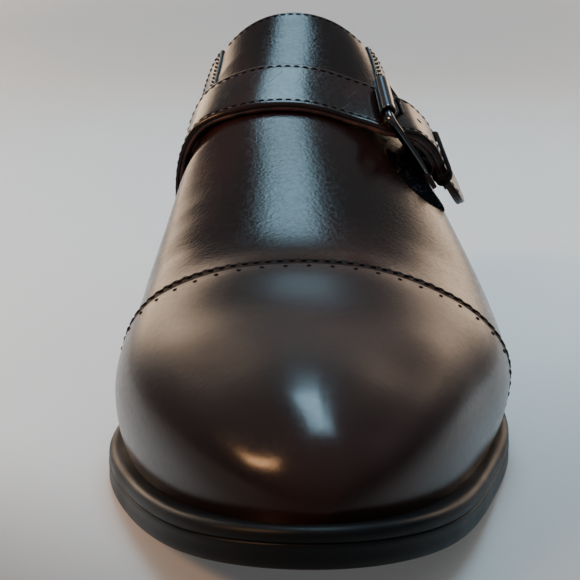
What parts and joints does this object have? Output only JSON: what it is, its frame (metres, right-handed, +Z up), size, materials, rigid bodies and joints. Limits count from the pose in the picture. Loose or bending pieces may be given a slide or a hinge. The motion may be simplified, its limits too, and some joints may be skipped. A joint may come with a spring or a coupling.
{
  "type": "strapped loafer shoe",
  "caption": "Left slip-on dress shoe with a plain toe cap, side gore and a leather strap fastened over the instep by a roller buckle; a hollow shoe to wear or display.",
  "frame": {"origin": "middle of the box on the plane that the heel and the tread stand on", "axes": "+X to the lateral side of this left shoe, where the buckle is, -Y toward the toe, +Z up"},
  "size_m": [0.101, 0.2999, 0.1082],
  "materials": {
    "leather_dark": "very dark brown box calf, polished to a gloss, fine grain",
    "leather_edge": "dark red-brown leather with painted edges, satin",
    "rubber_black": "smooth moulded black rubber, satin",
    "insole_leather": "tan lining leather, matt",
    "elastic_black": "black ribbed elastic webbing, matt",
    "gunmetal": "dark polished gunmetal plating"
  },
  "bodies": {
    "root": {"upper": "leather_dark", "strap": "leather_dark", "keeper": "leather_dark", "tab": "leather_edge", "gore": "elastic_black", "buckle_frame": "gunmetal", "roller": "gunmetal", "prong": "gunmetal", "insole": "insole_leather", "welt": "rubber_black", "outsole": "rubber_black", "heel": "rubber_black"}
  },
  "joints": []
}
